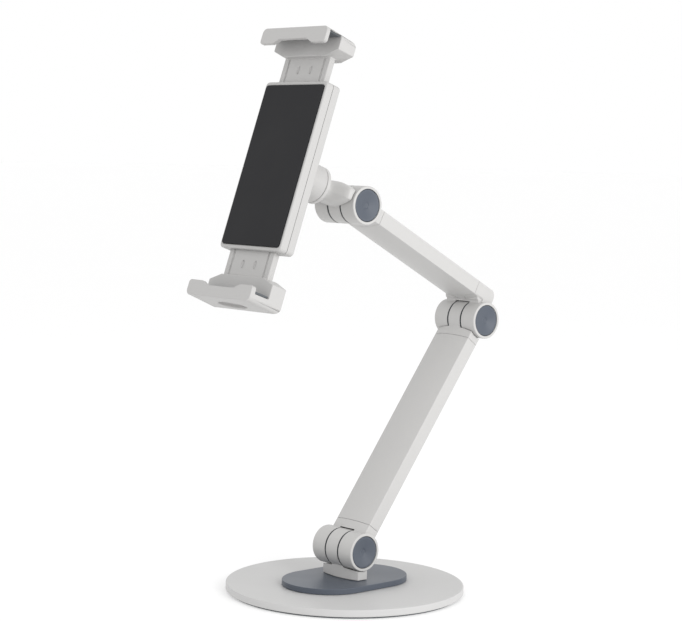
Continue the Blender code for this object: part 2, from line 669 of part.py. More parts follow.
def build_housing(frame):
    """Front and back shells, the pad that the tablet rests on, and the four screws that hold the shells."""
    outline = rounded_box(HOUSING_HALF_WIDTH, HOUSING_HALF_HEIGHT, HOUSING_CORNER)
    seam = HOUSING_SEAM
    front_inner = RAIL_FRONT - GAP
    slot_half = RAIL_HALF_WIDTH + GAP
    front = prism("front_shell", outline, HOUSING_FRONT, seam - GAP / 2, frame, "moulded_shell", "Y")
    back = prism("back_shell", outline, seam + GAP / 2, HOUSING_BACK, frame, "moulded_shell", "Y")
    high = HOUSING_HALF_HEIGHT
    for shell, low_y, high_y, part in (
        (front, front_inner, seam + 2, "front_room"),
        (back, seam - 2, RAIL_BACK + GAP, "back_slot"),
        (back, seam - 2, HOUSING_BACK - HOUSING_WALL, "back_room"),
    ):
        reach = high - HOUSING_WALL if part == "back_room" else high + 5
        cut(shell, box(part, (-slot_half, low_y, -reach), (slot_half, high_y, reach), frame))
    pad_seat = rounded_box(REST_PAD_HALF_WIDTH + GAP, REST_PAD_HALF_HEIGHT + GAP, REST_PAD_CORNER + GAP)
    low, high = HOUSING_FRONT - 2, HOUSING_FRONT + 0.8
    cut(front, prism("pad_seat", pad_seat, low, high, frame, "moulded_shell", "Y"))
    pad = rounded_box(REST_PAD_HALF_WIDTH, REST_PAD_HALF_HEIGHT, REST_PAD_CORNER)
    prism("rest_pad", pad, 0.0, HOUSING_FRONT + 0.5, frame, "dark_rubber", "Y")
    join(front, rod("pin_boss", 3.4, front_inner - 1, RAIL_FRONT + RAIL_SKIN, frame, "Y"))
    cut(front, rod("pin_hole", 1.8, 2.1, 20, frame, "Y"))
    boss = [(0, 11.5), (17.0, 11.5), (17.0, 13.4), (15.2, 14.6), (13.6, 17.5)]
    boss += [(BOSS_RADIUS, 22.0), (BOSS_RADIUS, BOSS_END), (0, BOSS_END)]
    join(back, turned("swivel_boss", boss, frame, "moulded_shell", "Y", sides=ROUND))
    bore = [(0, 5), (8.0, 5), (8.0, 24), (BORE_RADIUS + GAP, 24)]
    bore += [(BORE_RADIUS + GAP, 31.5), (5.8, 31.5), (5.8, 45), (0, 45)]
    cut(back, turned("swivel_boss_bore", bore, frame, "moulded_shell", "Y", sides=SMALL_ROUND))
    for part, side in (("left", 1), ("right", -1)):
        place = (-side * SPRING_X, side * (SPRING_LOW - 2))
        join(back, rod(f"spring_anchor_{part}", 1.0, RAIL_BACK - 1.4, 12, frame, "Y", place, 12))
    for place, x, z in (
        ("top_left", -26, 47),
        ("top_right", 26, 47),
        ("bottom_left", -26, -47),
        ("bottom_right", 26, -47),
    ):
        seat = [(0, 4.0), (1.5, 4.0), (1.5, 10.4), (2.9, 10.4), (2.9, 15), (0, 15)]
        hole = turned(f"shell_screw_hole_{place}", seat, frame, "zinc_steel", "Y", (x, z), 16)
        cut(front, hole)
        cut(back, hole)
        shape = [(0, 4.3), (1.2, 4.3), (1.2, 10.7), (2.6, 10.7), (2.6, 12.2), (1.0, 12.2), (0, 11.4)]
        turned(f"shell_screw_{place}", shape, frame, "zinc_steel", "Y", (x, z), 16)


def build_stand():
    base = axis_empty("base_axis", None, (0, 0, 0))
    swivel = axis_empty("base_swivel_axis", base, (0, 0, 0))
    lower = axis_empty("lower_hinge_axis", swivel, (0, 0, LOWER_HINGE_HEIGHT), -LOWER_ARM_LEAN)
    elbow = axis_empty("elbow_axis", lower, (0, 0, LOWER_ARM_LENGTH), UPPER_ARM_ANGLE + LOWER_ARM_LEAN)
    head_place = (0, UPPER_ARM_OFFSET, UPPER_ARM_LENGTH)
    head = axis_empty("head_axis", elbow, head_place, -CLAMP_LEAN - UPPER_ARM_ANGLE)
    clamp = axis_empty("clamp_swivel_axis", head, (0, -HEAD_REACH, HEAD_DROP))
    pinion = axis_empty("pinion_axis", clamp, (0, 0, 0))
    build_base(base)
    build_turntable(swivel, lower)
    build_lower_arm(lower, elbow)
    hinge_hardware("lower_hinge", lower)
    build_upper_arm(elbow, head)
    hinge_hardware("elbow_hinge", elbow)
    hinge_hardware("head_hinge", head)
    build_neck(head)
    build_neck_bolt(clamp)
    build_housing(clamp)
    build_pinion(pinion, clamp)
    build_jaw("upper_jaw", clamp, UPPER_JAW)
    build_jaw("lower_jaw", clamp, LOWER_JAW)
    build_spring("upper_jaw_spring", clamp, 1)
    build_spring("lower_jaw_spring", clamp, -1)


for leftover in list(bpy.data.objects):
    bpy.data.objects.remove(leftover, do_unlink=True)
build_stand()
bpy.context.view_layer.update()
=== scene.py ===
"""Looks of the tablet stand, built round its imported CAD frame.

Every piece that shows is drawn again here with finer curves and rounded edges, in the place that the
frame's joints and boxes give, and everything gets a procedural material. Shapes are drawn in millimetres
in the frame of their own body, one of PLACES, and stored in metres in the row frame. +Z is up and the
clamp faces -Y.
"""

import json
import math
from collections import namedtuple

import bmesh
import bpy
from mathutils import Matrix, Vector


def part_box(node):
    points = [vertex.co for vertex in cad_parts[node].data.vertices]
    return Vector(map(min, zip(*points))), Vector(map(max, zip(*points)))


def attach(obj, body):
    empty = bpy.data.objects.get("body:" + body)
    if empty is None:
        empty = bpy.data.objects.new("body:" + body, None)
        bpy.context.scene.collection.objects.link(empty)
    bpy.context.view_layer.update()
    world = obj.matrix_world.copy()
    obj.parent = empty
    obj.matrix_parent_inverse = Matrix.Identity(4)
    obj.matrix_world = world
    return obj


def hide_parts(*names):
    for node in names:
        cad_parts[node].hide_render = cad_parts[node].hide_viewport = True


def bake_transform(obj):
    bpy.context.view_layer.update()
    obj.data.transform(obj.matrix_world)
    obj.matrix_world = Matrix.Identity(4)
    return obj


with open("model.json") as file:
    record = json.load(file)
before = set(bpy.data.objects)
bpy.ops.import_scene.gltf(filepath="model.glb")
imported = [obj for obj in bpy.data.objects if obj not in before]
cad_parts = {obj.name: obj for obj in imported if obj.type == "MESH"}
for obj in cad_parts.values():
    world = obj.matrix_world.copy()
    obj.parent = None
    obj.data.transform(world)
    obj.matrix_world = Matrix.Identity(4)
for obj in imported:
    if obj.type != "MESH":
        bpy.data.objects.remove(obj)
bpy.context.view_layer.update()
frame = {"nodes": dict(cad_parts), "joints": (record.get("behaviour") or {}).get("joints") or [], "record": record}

MM = 0.001
GAP = 0.3  # clearance between neighbouring pieces
CLEAR = 0.02  # how far a rounding cutter's ends stand outside the faces that it runs into
THROUGH = 30  # half the length of a cutter that passes right through an arm
RECORD = frame["record"]
JOINTS = {joint["name"]: joint for joint in frame["joints"]}
BODY_OF = {node: body for body, nodes in RECORD["behaviour"]["bodies"].items() for node in nodes}
SLOT_OF = {part["node"]: part["material_slot"] for part in RECORD["subparts"]}

# Arms and hinges, as the CAD model has them
ARM_HALF_WIDTH, ARM_EDGE, ARM_CROWN, ARM_WALL, ARM_CORNER = 16.2, 4.75, 2.4, 1.5, 0.7
KNUCKLE_HALF_WIDTH, KNUCKLE_EDGE, KNUCKLE_CROWN = 17.4, 4.0, 3.1
SWIVEL_HOLE, PLATE_SCREW_X = 4.0, 13.0
UPPER_ARM_OFFSET, UPPER_ARM_LENGTH = 17.2, 137.3
LOWER_SEAMS, UPPER_SEAMS = (17.5, 166.5), (16.8, 119.8)
SPIGOT_LENGTH, SEAM = 15.0, 0.2
BARREL_RADIUS, BARREL_HALF_LENGTH, RIM_ROUND = 12.57, 19.1, 0.7
TONGUE_HALF_WIDTH, EAR_START, SADDLE_RADIUS, SLOT_RADIUS = 5.4, 6.8, 13.2, 13.4
BORE_RADIUS, CAP_RADIUS, CAP_START = 3.0, 10.5, 16.6
NUT_SEAT_RADIUS, NUT_SEAT, SOCKET_END = 6.6, 10.5, 25
FITTING_ROUND, SEAM_ROUND = 0.12, 0.1

# Clamp head
HEAD_DROP, BOSS_RADIUS, BOSS_END = 2.6, 12.5, 37.9
STEM_RADIUS, PEG_RADIUS = 6.2, 5.5
HOUSING_FRONT, HOUSING_SEAM, HOUSING_BACK = 1.1, 6.8, 12.9
HOUSING_HALF_WIDTH, HOUSING_HALF_HEIGHT, HOUSING_CORNER = 30.0, 56.0, 2.8
REST_PAD_HALF_WIDTH, REST_PAD_HALF_HEIGHT, REST_PAD_CORNER = 28.0, 53.4, 2.0
RAIL_HALF_WIDTH, RAIL_FRONT, RAIL_SKIN, RAIL_BACK, RAIL_INNER_END, FLANGE = 22.0, 4.3, 1.8, 8.7, 20.0, 1.5
JAW_FACE, JAW_BOTTOM, JAW_SHOULDER, JAW_CORNER = 84.75, 73.0, 77.0, 3.5
FOOT_X, NOTCH_X, FOOT_CORNER = 18.9, 13.2, 2.2
SHELL_SCREW_X, SHELL_SCREW_Z = 26, 47
PIN_BOSS_RADIUS, PIN_HOLE_RADIUS = 3.4, 1.8
POST_RADIUS, POST_SIDES = 1.0, 24
GROOVE_X, GROOVE_HALF_WIDTH, GROOVE_DEPTH = 17.0, 0.6, 0.6
MARK_X, MARK_Z, MARK_DEPTH = 6.0, 65.0, 0.5
RACK_X, RACK_LEG_X, RACK_LOW, PITCH_RADIUS = 12.5, 7.25, -28.0, 6.0

# Each jaw from the clamp's centre: y runs backwards and z outwards, up for side 1 and down for side -1
Jaw = namedtuple(
    "Jaw",
    "side half_width lip_front lip_back channel_back back foot notch outer_front outer_back corner lining",
)
UPPER_JAW = Jaw(
    side=1,
    half_width=31.5,
    lip_front=-12.0,
    lip_back=-9.0,
    channel_back=0.9,
    back=14.4,
    foot=76.9,
    notch=79.7,
    outer_front=87.6,
    outer_back=86.4,
    corner=4.5,
    lining=0.8,
)
LOWER_JAW = Jaw(
    side=-1,
    half_width=31.6,
    lip_front=-13.0,
    lip_back=-9.4,
    channel_back=1.9,
    back=13.6,
    foot=81.9,
    notch=84.7,
    outer_front=92.0,
    outer_back=93.8,
    corner=4.5,
    lining=1.4,
)
SPRING_X, SPRING_Y, SPRING_RADIUS, SPRING_WIRE = 16.5, 8.6, 1.6, 0.28
SPRING_TURNS, SPRING_POINTS_PER_TURN = 34, 14
SPRING_LOW, SPRING_HIGH = -44.0, 30.0

ROUND = 96  # sides of a round piece
DISC_ROUND = 256
SMALL_ROUND = 32
SHARP_ANGLE, FLAT_ANGLE = 32, 0.6  # degrees
MERGE_DISTANCE = 0.02 * MM


# ---------------------------------------------------------------- places


def place_at(origin, up):
    """The matrix to the row frame from millimetres at this origin, +Z along up and +X as in the row."""
    x, z = Vector((1, 0, 0)), Vector(up).normalized()
    turn = Matrix((x, z.cross(x), z)).transposed().to_4x4()
    return Matrix.Translation(Vector(origin)) @ turn @ Matrix.Scale(MM, 4)


def joint_place(name):
    return Vector(JOINTS[name]["pos_m"])


def make_places():
    """The base's place, and those at the hinges, along the pieces that meet there."""
    lower, elbow, head, clamp = (
        joint_place(name) for name in ("lower_hinge", "elbow_hinge", "head_tilt", "clamp_rotation")
    )
    tilt = Matrix.Rotation(math.atan2(UPPER_ARM_OFFSET, UPPER_ARM_LENGTH), 3, "X")
    clamp_up = Vector((1, 0, 0)).cross(Vector(JOINTS["clamp_rotation"]["axis"]))
    return {
        "base": place_at((0, 0, 0), (0, 0, 1)),
        "base_hinge": place_at(lower, (0, 0, 1)),
        "lower": place_at(lower, elbow - lower),
        "lower_top": place_at(elbow, elbow - lower),
        "upper": place_at(elbow, tilt @ (head - elbow)),
        "head": place_at(head, clamp_up),
        "clamp": place_at(clamp, clamp_up),
    }


PLACES = make_places()


# ---------------------------------------------------------------- outlines, as lists of 2-D points


def arc(centre, radius, start, end, steps):
    turns = [math.radians(start + (end - start) * i / steps) for i in range(steps + 1)]
    return [(centre[0] + radius * math.cos(a), centre[1] + radius * math.sin(a)) for a in turns]


def circle(radius, sides=ROUND):
    return arc((0, 0), radius, 0, 360 - 360 / sides, sides - 1)


def rounded(points, radius, steps=4, least_turn=25, closed=True):
    """The outline with an arc of this radius at every corner that turns by more than least_turn degrees."""
    result = []
    count = len(points)
    for i, point in enumerate(points):
        if not closed and i in (0, count - 1):
            result.append(point)
            continue
        before, here, after = (Vector(points[(i + k) % count]) for k in (-1, 0, 1))
        arriving, leaving = here - before, after - here
        turn = arriving.angle_signed(leaving) if arriving.length and leaving.length else 0.0
        if abs(math.degrees(turn)) < least_turn:
            result.append(point)
            continue
        reach = min(radius * math.tan(abs(turn) / 2), 0.49 * arriving.length, 0.49 * leaving.length)
        start, end = here - arriving.normalized() * reach, here + leaving.normalized() * reach
        for k in range(steps + 1):
            t = k / steps
            # A quadratic curve through the corner's tangents is close to the arc and never overshoots.
            result.append(tuple((1 - t) ** 2 * start + 2 * t * (1 - t) * here + t**2 * end))
    return result


def inset(outline, amount):
    """The anticlockwise outline moved inwards by this amount."""
    if not amount:
        return list(outline)
    result = []
    count = len(outline)
    for i in range(count):
        before, here, after = (Vector(outline[(i + k) % count]) for k in (-1, 0, 1))
        one, two = (here - before).normalized(), (after - here).normalized()
        normal = Vector((-one.y - two.y, one.x + two.x))
        normal /= max(normal.length_squared / 2, 1e-6)
        result.append(tuple(here + normal * amount))
    return result


def ellipse(centre, half_x, half_y, sides):
    return [(centre[0] + half_x * x, centre[1] + half_y * y) for x, y in circle(1.0, sides)]


def rounded_box(half_width, half_height, corner, steps=8):
    x, y = half_width - corner, half_height - corner
    points = []
    for sx, sy, start in ((1, 1, 0), (-1, 1, 90), (-1, -1, 180), (1, -1, 270)):
        points += arc((sx * x, sy * y), corner, start, start + 90, steps)
    return points


def bar_section(half_width, edge, crown, corner=ARM_CORNER, steps=24):
    """A flat bar with crowned broad faces, straight narrow sides and rounded corners."""
    radius = (half_width**2 + crown**2) / (2 * crown)
    sweep = math.degrees(math.asin(half_width / radius))
    top = arc((0, edge + crown - radius), radius, 90 - sweep, 90 + sweep, steps)
    outline = top + [(-x, -y) for x, y in top]
    return rounded(outline, corner) if corner else outline


def arm_section(shrink=0.0, lift=0.0, corner=ARM_CORNER):
    """The section of both arms, made smaller all round or moved off the hinge's axis."""
    outline = bar_section(ARM_HALF_WIDTH - shrink, ARM_EDGE - shrink, ARM_CROWN, corner)
    return [(x, y + lift) for x, y in outline]


def stadium(half_width, half_length, steps=40):
    upper = arc((0, half_length - half_width), half_width, 0, 180, steps)
    return upper + [(-x, -y) for x, y in upper]


def resampled(outline, count):
    """A star-shaped outline's points at even angles, so that two outlines join without a twist."""
    return [ray_hit(outline, 2 * math.pi * i / count) for i in range(count)]


def ray_hit(outline, angle):
    """The furthest point of the outline in this direction from the origin."""
    dx, dy = math.cos(angle), math.sin(angle)
    reach = 0.0
    for (x0, y0), (x1, y1) in zip(outline, outline[1:] + outline[:1]):
        across = dx * (y1 - y0) - dy * (x1 - x0)
        if abs(across) < 1e-9:
            continue
        share = (x0 * dy - y0 * dx) / across
        if -1e-6 <= share <= 1 + 1e-6:
            reach = max(reach, (x0 * (y1 - y0) - y0 * (x1 - x0)) / across)
    return (dx * reach, dy * reach)


def blended(first, second, share):
    """The outline at this share of the way from the first to the second, point by point."""
    return [(a[0] + (b[0] - a[0]) * share, a[1] + (b[1] - a[1]) * share) for a, b in zip(first, second)]


# ---------------------------------------------------------------- solids


def along(axis, point, height):
    """A 2-D point lifted to 3-D: the outline lies across the axis and height runs along it."""
    if axis == "X":
        return (height, point[0], point[1])
    if axis == "Y":
        return (point[0], height, point[1])
    return (point[0], point[1], height)


def lifted(stations, axis):
    """The 3-D loops of (outline, height) stations."""
    return [[along(axis, point, height) for point in outline] for outline, height in stations]


def loft(name, loops, place, ring=False):
    """A closed solid through loops of one length or of one point. A ring joins the last to the first."""
    build = bmesh.new()
    rows = [[build.verts.new(place @ Vector(p)) for p in loop] for loop in loops]
    pairs = list(zip(rows, rows[1:]))
    if ring:
        pairs.append((rows[-1], rows[0]))
    else:
        for row in (rows[0], rows[-1]):
            if len(row) > 1:
                build.faces.new(row)
    for lower, upper in pairs:
        count = max(len(lower), len(upper))
        for i in range(count):
            j = (i + 1) % count
            below = [lower[i % len(lower)], lower[j % len(lower)]]
            above = [upper[j % len(upper)], upper[i % len(upper)]]
            build.faces.new(list(dict.fromkeys(below + above)))
    bmesh.ops.recalc_face_normals(build, faces=build.faces)
    mesh = bpy.data.meshes.new(name)
    build.to_mesh(mesh)
    build.free()
    mesh.shade_smooth()
    piece = bpy.data.objects.new(name, mesh)
    bpy.context.scene.collection.objects.link(piece)
    return piece


def softened(outline, low, high, low_round=0.0, high_round=0.0, steps=4):
    """(outline, height) stations of a prism whose end edges are rounded."""

    def station(end, reach, k):
        turn = math.pi / 2 * k / steps
        return inset(outline, abs(reach) * (1 - math.sin(turn))), end + reach * (1 - math.cos(turn))

    first = [station(low, low_round, k) for k in range(steps + 1 if low_round else 1)]
    last = [station(high, -high_round, k) for k in range(steps + 1 if high_round else 1)]
    return first + last[::-1]


def prism(name, outline, low, high, place, axis="Z", low_round=0.0, high_round=0.0):
    return loft(name, lifted(softened(outline, low, high, low_round, high_round), axis), place)


def turned(name, profile, place, axis="Z", centre=(0, 0), sides=ROUND):
    """A solid of revolution from (radius, height) pairs, or a ring if they start off the axis."""
    loops = []
    for radius, height in profile:
        points = circle(radius, sides) if radius > 1e-6 else [(0, 0)]
        loops.append([along(axis, (x + centre[0], y + centre[1]), height) for x, y in points])
    return loft(name, loops, place, ring=profile[0][0] > 1e-6)


def rod_profile(radius, low, high):
    return [(0, low), (radius, low), (radius, high), (0, high)]


def rod(name, radius, low, high, place, axis="Z", centre=(0, 0), sides=ROUND):
    return turned(name, rod_profile(radius, low, high), place, axis, centre, sides)


def slab(name, low, high, place):
    """A box between two corners."""
    outline = [(low[0], low[1]), (high[0], low[1]), (high[0], high[1]), (low[0], high[1])]
    return prism(name, outline, low[2], high[2], place)


def weld(mesh, distance=2e-6):
    """Merges vertices closer than distance, in metres, and drops what shrinks to nothing."""
    build = bmesh.new()
    build.from_mesh(mesh)
    bmesh.ops.remove_doubles(build, verts=build.verts, dist=distance)
    bmesh.ops.dissolve_degenerate(build, edges=build.edges, dist=distance / 4)
    build.to_mesh(mesh)
    build.free()


def combine(piece, tools, operation):
    """Applies Booleans at once and removes the tools."""
    for tool in tools:
        step = piece.modifiers.new(tool.name, "BOOLEAN")
        step.object = tool
        step.operation = operation
        step.solver = "EXACT"
        graph = bpy.context.evaluated_depsgraph_get()
        mesh = bpy.data.meshes.new_from_object(piece.evaluated_get(graph), depsgraph=graph)
        weld(mesh)
        piece.modifiers.clear()
        piece.data = mesh
    for tool in tools:
        bpy.data.objects.remove(tool)
    return piece


def join(piece, *tools):
    return combine(piece, tools, "UNION")


def cut(piece, *tools):
    return combine(piece, tools, "DIFFERENCE")


def soften_edges(piece, width, segments=3):
    """Rounds the sharp edges that Booleans left, and evens out the shading."""
    build = bmesh.new()
    build.from_mesh(piece.data)
    bmesh.ops.remove_doubles(build, verts=build.verts, dist=MERGE_DISTANCE)
    bmesh.ops.dissolve_limit(
        build,
        angle_limit=math.radians(FLAT_ANGLE),
        verts=build.verts,
        edges=build.edges,
        use_dissolve_boundaries=False,
    )
    build.to_mesh(piece.data)
    build.free()
    bevel = piece.modifiers.new("rounded_edges", "BEVEL")
    bevel.width = width * MM
    bevel.segments = segments
    bevel.limit_method = "ANGLE"
    bevel.angle_limit = math.radians(SHARP_ANGLE)
    bevel.use_clamp_overlap = False
    bevel.miter_outer = "MITER_ARC"
    even_shading(piece)
    return piece


def even_shading(piece):
    """Smooth shading that follows the large faces, so that flat ones look flat."""
    piece.data.shade_smooth()
    normals = piece.modifiers.new("even_shading", "WEIGHTED_NORMAL")
    normals.keep_sharp = True
    normals.weight = 80
    return piece


# ---------------------------------------------------------------- materials


def node_tree(name):
    made = bpy.data.materials.new(name)
    made.use_nodes = True
    tree = made.node_tree
    return made, tree, tree.nodes["Principled BSDF"]


def link(tree, source, target):
    tree.links.new(source, target)


def noise(tree, scale, detail=2.0, roughness=0.5):
    """Noise in the row frame, so that its grain keeps one real size on every piece."""
    place = tree.nodes.new("ShaderNodeTexCoord")
    texture = tree.nodes.new("ShaderNodeTexNoise")
    texture.inputs["Scale"].default_value = scale
    texture.inputs["Detail"].default_value = detail
    texture.inputs["Roughness"].default_value = roughness
    link(tree, place.outputs["Object"], texture.inputs["Vector"])
    return texture.outputs["Fac"]


def spread(tree, value, low, high):
    """The noise's middle range mapped to low and high."""
    remap = tree.nodes.new("ShaderNodeMapRange")
    remap.inputs["From Min"].default_value = 0.3
    remap.inputs["From Max"].default_value = 0.7
    remap.inputs["To Min"].default_value = low
    remap.inputs["To Max"].default_value = high
    link(tree, value, remap.inputs["Value"])
    return remap.outputs["Result"]


def tinted(tree, colour, value, darkest):
    """The colour, varied by a share between darkest and one."""
    mix = tree.nodes.new("ShaderNodeMix")
    mix.data_type = "RGBA"
    mix.inputs["A"].default_value = (*[c * darkest for c in colour], 1)
    mix.inputs["B"].default_value = (*colour, 1)
    link(tree, spread(tree, value, 0.0, 1.0), mix.inputs["Factor"])
    return mix.outputs["Result"]


def bump(tree, shader, value, distance_mm, strength):
    """A fine grain on the shader's surface."""
    node = tree.nodes.new("ShaderNodeBump")
    node.inputs["Distance"].default_value = distance_mm * MM
    node.inputs["Strength"].default_value = strength
    link(tree, value, node.inputs["Height"])
    link(tree, node.outputs["Normal"], shader.inputs["Normal"])


# Each slot's colour, lowest and highest roughness, darkest tint, grain per metre, the grain's height in
# millimetres and its strength, metallic and specular
FINISHES = {
    "painted_arm": ((0.500, 0.494, 0.486), 0.36, 0.44, 0.985, 900, 0.02, 0.08, 0.0, 0.40),
    "painted_disc": ((0.525, 0.522, 0.518), 0.42, 0.52, 0.98, 1400, 0.03, 0.12, 0.0, 0.40),
    "moulded_shell": ((0.475, 0.469, 0.462), 0.42, 0.52, 0.98, 2200, 0.02, 0.15, 0.0, 0.40),
    "blue_grey": ((0.080, 0.093, 0.117), 0.34, 0.40, 0.95, 2000, 0.01, 0.10, 0.0, 0.36),
    "dark_rubber": ((0.020, 0.020, 0.022), 0.70, 0.85, 0.80, 2600, 0.05, 0.35, 0.0, 0.30),
    "grey_rubber": ((0.120, 0.130, 0.140), 0.70, 0.85, 0.85, 2600, 0.04, 0.30, 0.0, 0.30),
    "zinc_steel": ((0.550, 0.550, 0.560), 0.28, 0.45, 0.85, 3000, 0.01, 0.15, 1.0, 0.50),
    "white_nylon": ((0.750, 0.740, 0.700), 0.45, 0.55, 0.95, 1500, 0.02, 0.10, 0.0, 0.45),
    "dark_nylon": ((0.020, 0.025, 0.030), 0.50, 0.60, 0.90, 1500, 0.02, 0.10, 0.0, 0.30),
}


def finish(slot):
    """The procedural material of a slot, made on first use."""
    name = "finish_" + slot
    found = bpy.data.materials.get(name)
    if found:
        return found
    colour, low, high, darkest, grain, height, strength, metallic, specular = FINISHES[slot]
    made, tree, shader = node_tree(name)
    cloud = noise(tree, scale=28.0, detail=3.0)
    fine = noise(tree, scale=grain, detail=3.0, roughness=0.6)
    link(tree, tinted(tree, colour, cloud, darkest), shader.inputs["Base Color"])
    link(tree, spread(tree, cloud, low, high), shader.inputs["Roughness"])
    bump(tree, shader, fine, height, strength)
    shader.inputs["Metallic"].default_value = metallic
    shader.inputs["Specular IOR Level"].default_value = specular
    return made


def show(piece, node, blend=None):
    """The piece stands for this CAD node and takes its slot's finish. It rides on its body, or, if a blend is
    given, is baked where it stands in the row frame; only whether a blend is given counts.
    """
    piece.data.materials.clear()
    piece.data.materials.append(finish(SLOT_OF[node]))
    if blend:
        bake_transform(piece)
    else:
        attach(piece, BODY_OF[node])
    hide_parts(node)
    return piece


# ---------------------------------------------------------------- hinges


def barrel(name, place):
    """The round outside of both ears, with rounded rims."""
    profile = rod_profile(BARREL_RADIUS, -BARREL_HALF_LENGTH, BARREL_HALF_LENGTH)
    return turned(name, rounded(profile, RIM_ROUND, closed=False), place, "X")


def fork_cutters(name, place):
    """The stepped hole through both ears and the tongue's slot between them."""
    socket_radius, socket = CAP_RADIUS + GAP, CAP_START - GAP
    half = [(socket_radius, SOCKET_END), (socket_radius, socket), (NUT_SEAT_RADIUS, socket)]
    half += [(NUT_SEAT_RADIUS, NUT_SEAT), (BORE_RADIUS, NUT_SEAT)]
    profile = [(0, SOCKET_END)] + half + [(r, -h) for r, h in reversed(half)] + [(0, -SOCKET_END)]
    slot = rod(name + "_slot", SLOT_RADIUS, -EAR_START, EAR_START, place, "X")
    return turned(name + "_bore", profile, place, "X"), slot


def make_fork(node, body, place, extras=()):
    """Joins the ears to a fitting's body and opens the slot and the bolt's hole."""
    join(body, *extras, barrel(node + "_ears", place))
    cut(body, *fork_cutters(node, place))
    return show(soften_edges(body, FITTING_ROUND), node)


def make_tongue(node, body, place, extras=()):
    """Makes room for the fork's ears and adds the tongue between them."""
    wide = BARREL_HALF_LENGTH + 10
    for side, low, high in (("left", -wide, -TONGUE_HALF_WIDTH), ("right", TONGUE_HALF_WIDTH, wide)):
        cut(body, rod(f"{node}_room_{side}", SADDLE_RADIUS, low, high, place, "X"))
    middle = rod(node + "_barrel", BARREL_RADIUS, -TONGUE_HALF_WIDTH, TONGUE_HALF_WIDTH, place, "X")
    join(body, *extras, middle)
    cut(body, rod(node + "_bore", BORE_RADIUS, -THROUGH, THROUGH, place, "X"))
    return show(soften_edges(body, FITTING_ROUND), node)


def make_cap(node, place, sign):
    """A dished cap with a rounded rim and a shallow dimple in its middle."""
    dimple = [(0, 17.2), (1.9, 17.2), (2.3, 17.5), (2.8, 17.6)]
    width, depth, steps = 6.6, 1.2, 8
    dish = [(2.8 + width * i / steps, 17.6 + depth * i / steps) for i in range(1, steps + 1)]
    rim = [(10.1, 18.8), (CAP_RADIUS, 18.5), (CAP_RADIUS, CAP_START), (0, CAP_START)]
    profile = rounded(dimple + dish + rim, 0.3, 3, closed=False)
    cap = turned(node + "_dished", [(r, sign * h) for r, h in profile], place, "X")
    return show(even_shading(cap), node)


def make_hinge_caps():
    for hinge, place in (("lower_hinge", "lower"), ("elbow_hinge", "upper"), ("head_hinge", "head")):
        for side, sign in (("left", -1), ("right", 1)):
            make_cap(f"{hinge}_cap_{side}", PLACES[place], sign)


# ---------------------------------------------------------------- base


def make_disc():
    """The disc, with a recess under its hole for the swivel bolt's head, and its rubber pad."""
    place = PLACES["base"]
    disc_low, disc_high = (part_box("base_disc")[k].z / MM for k in (0, 1))
    radius, hole, recess, recess_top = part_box("base_disc")[1].x / MM, SWIVEL_HOLE, 9.5, 4.6
    profile = [(recess, disc_low), (radius, disc_low), (radius, disc_high)]
    profile += [(hole, disc_high), (hole, recess_top), (recess, recess_top)]
    disc = turned("base_disc_rounded", rounded(profile, 0.8, 5), place, sides=DISC_ROUND)
    show(even_shading(disc), "base_disc")
    pad_high, pad_radius = (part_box("foot_pad")[1][k] / MM for k in (2, 0))
    pad_profile = rounded(rod_profile(pad_radius, 0, pad_high), 0.3, 3, closed=False)
    pad = turned("foot_pad_rounded", pad_profile, place, sides=DISC_ROUND)
    show(even_shading(pad), "foot_pad")


def make_turntable():
    """The swivel plate, with holes for the swivel bolt and two screws, and the knuckle on it."""
    place = PLACES["base"]
    low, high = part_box("swivel_plate")
    outline = stadium(high.x / MM, high.y / MM)
    plate = prism("swivel_plate_rounded", outline, low.z / MM, high.z / MM, place, "Z", 0.2, 0.45)
    washer_seat = rod("plate_washer_seat", 8.8, 0, low.z / MM + 1.3, place)
    cut(plate, rod("plate_bolt_hole", SWIVEL_HOLE, 0, 12, place), washer_seat)
    seat = [(0, 5), (3.4, 5), (3.4, 6.4), (1.8, 8.1), (1.8, 14.6), (0, 14.6)]
    for x in (-PLATE_SCREW_X, PLATE_SCREW_X):
        cut(plate, turned("plate_screw_hole", seat, place, centre=(x, 0), sides=SMALL_ROUND))
    show(even_shading(plate), "swivel_plate")
    low_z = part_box("base_knuckle")[0].z / MM
    section = bar_section(KNUCKLE_HALF_WIDTH, KNUCKLE_EDGE, KNUCKLE_CROWN, 0.6)
    top = joint_place("lower_hinge").z / MM
    knuckle = prism("base_knuckle_rounded", section, low_z, top, place, "Z", 0.3)
    cut(knuckle, rod("knuckle_bolt_hole", SWIVEL_HOLE, 5, 18.0, place, sides=SMALL_ROUND))
    make_tongue("base_knuckle", knuckle, PLACES["base_hinge"])


# ---------------------------------------------------------------- arms


def make_tube(node, seams, place, lift=0.0):
    """An open tube with slightly rounded ends, which makes a fine seam against each fitting."""
    low, high = seams[0] + SEAM, seams[1] - SEAM
    outer = softened(arm_section(0, lift), low, high, SEAM_ROUND, SEAM_ROUND, 3)
    inner = arm_section(ARM_WALL, lift)
    stations = outer + [(inner, high), (inner, low)]
    tube = loft(node + "_rounded", lifted(stations, "Z"), place, ring=True)
    return show(even_shading(tube), node)


def spigot(name, low, high, place, lift=0.0):
    """The end of a fitting that goes into the tube."""
    return prism(name, arm_section(ARM_WALL + GAP, lift, 0.4), low, high, place)


